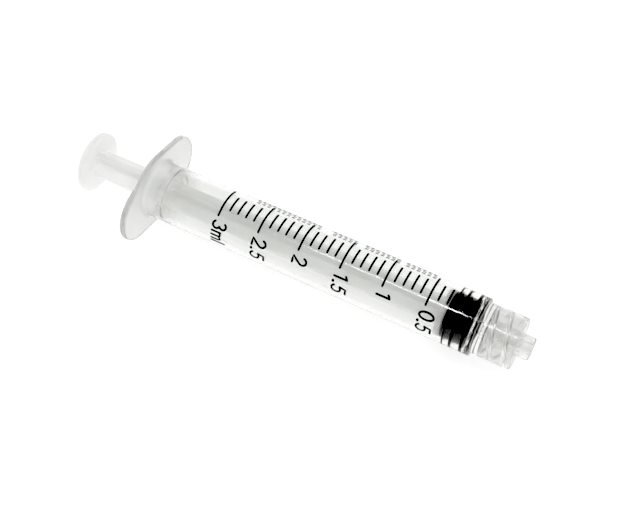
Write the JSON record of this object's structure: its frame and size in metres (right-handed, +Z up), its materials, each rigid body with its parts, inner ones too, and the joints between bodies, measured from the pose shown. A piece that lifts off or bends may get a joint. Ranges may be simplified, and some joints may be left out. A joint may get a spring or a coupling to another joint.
{
  "type": "luer-lock syringe",
  "caption": "Clear luer-lock syringe with a finger flange, a printed volume scale, a cross-ribbed plunger rod with a round thumb disc, and a black rubber stopper.",
  "frame": {"origin": "centre of the length and width, at the height of the surface that the flange's lower edge rests on; the syringe's axis is 7.2 mm above it", "axes": "+X along the syringe's axis towards the luer tip, +Z up with the middle of the printed scale on top, flange long along Y"},
  "size_m": [0.087, 0.023, 0.0144],
  "materials": {
    "clear_plastic": "clear polished polypropylene",
    "black_rubber": "smooth moulded, siliconed",
    "natural_plastic": "satin translucent, uncoloured",
    "scale_ink": "printed ink film"
  },
  "bodies": {
    "barrel": {"barrel": "clear_plastic"},
    "stopper": {"stopper": "black_rubber"},
    "plunger_rod": {"plunger_rod": "natural_plastic"}
  },
  "joints": [
    {"name": "plunger_slide", "type": "slide", "parent": "barrel", "child": "stopper", "axis": [-1, 0, 0], "range_m": [0, 0.0547]},
    {"name": "rod_twist", "type": "hinge", "parent": "stopper", "child": "plunger_rod", "pos_m": [-0.005, 0, 0.0072], "axis": [1, 0, 0], "continuous": true}
  ]
}
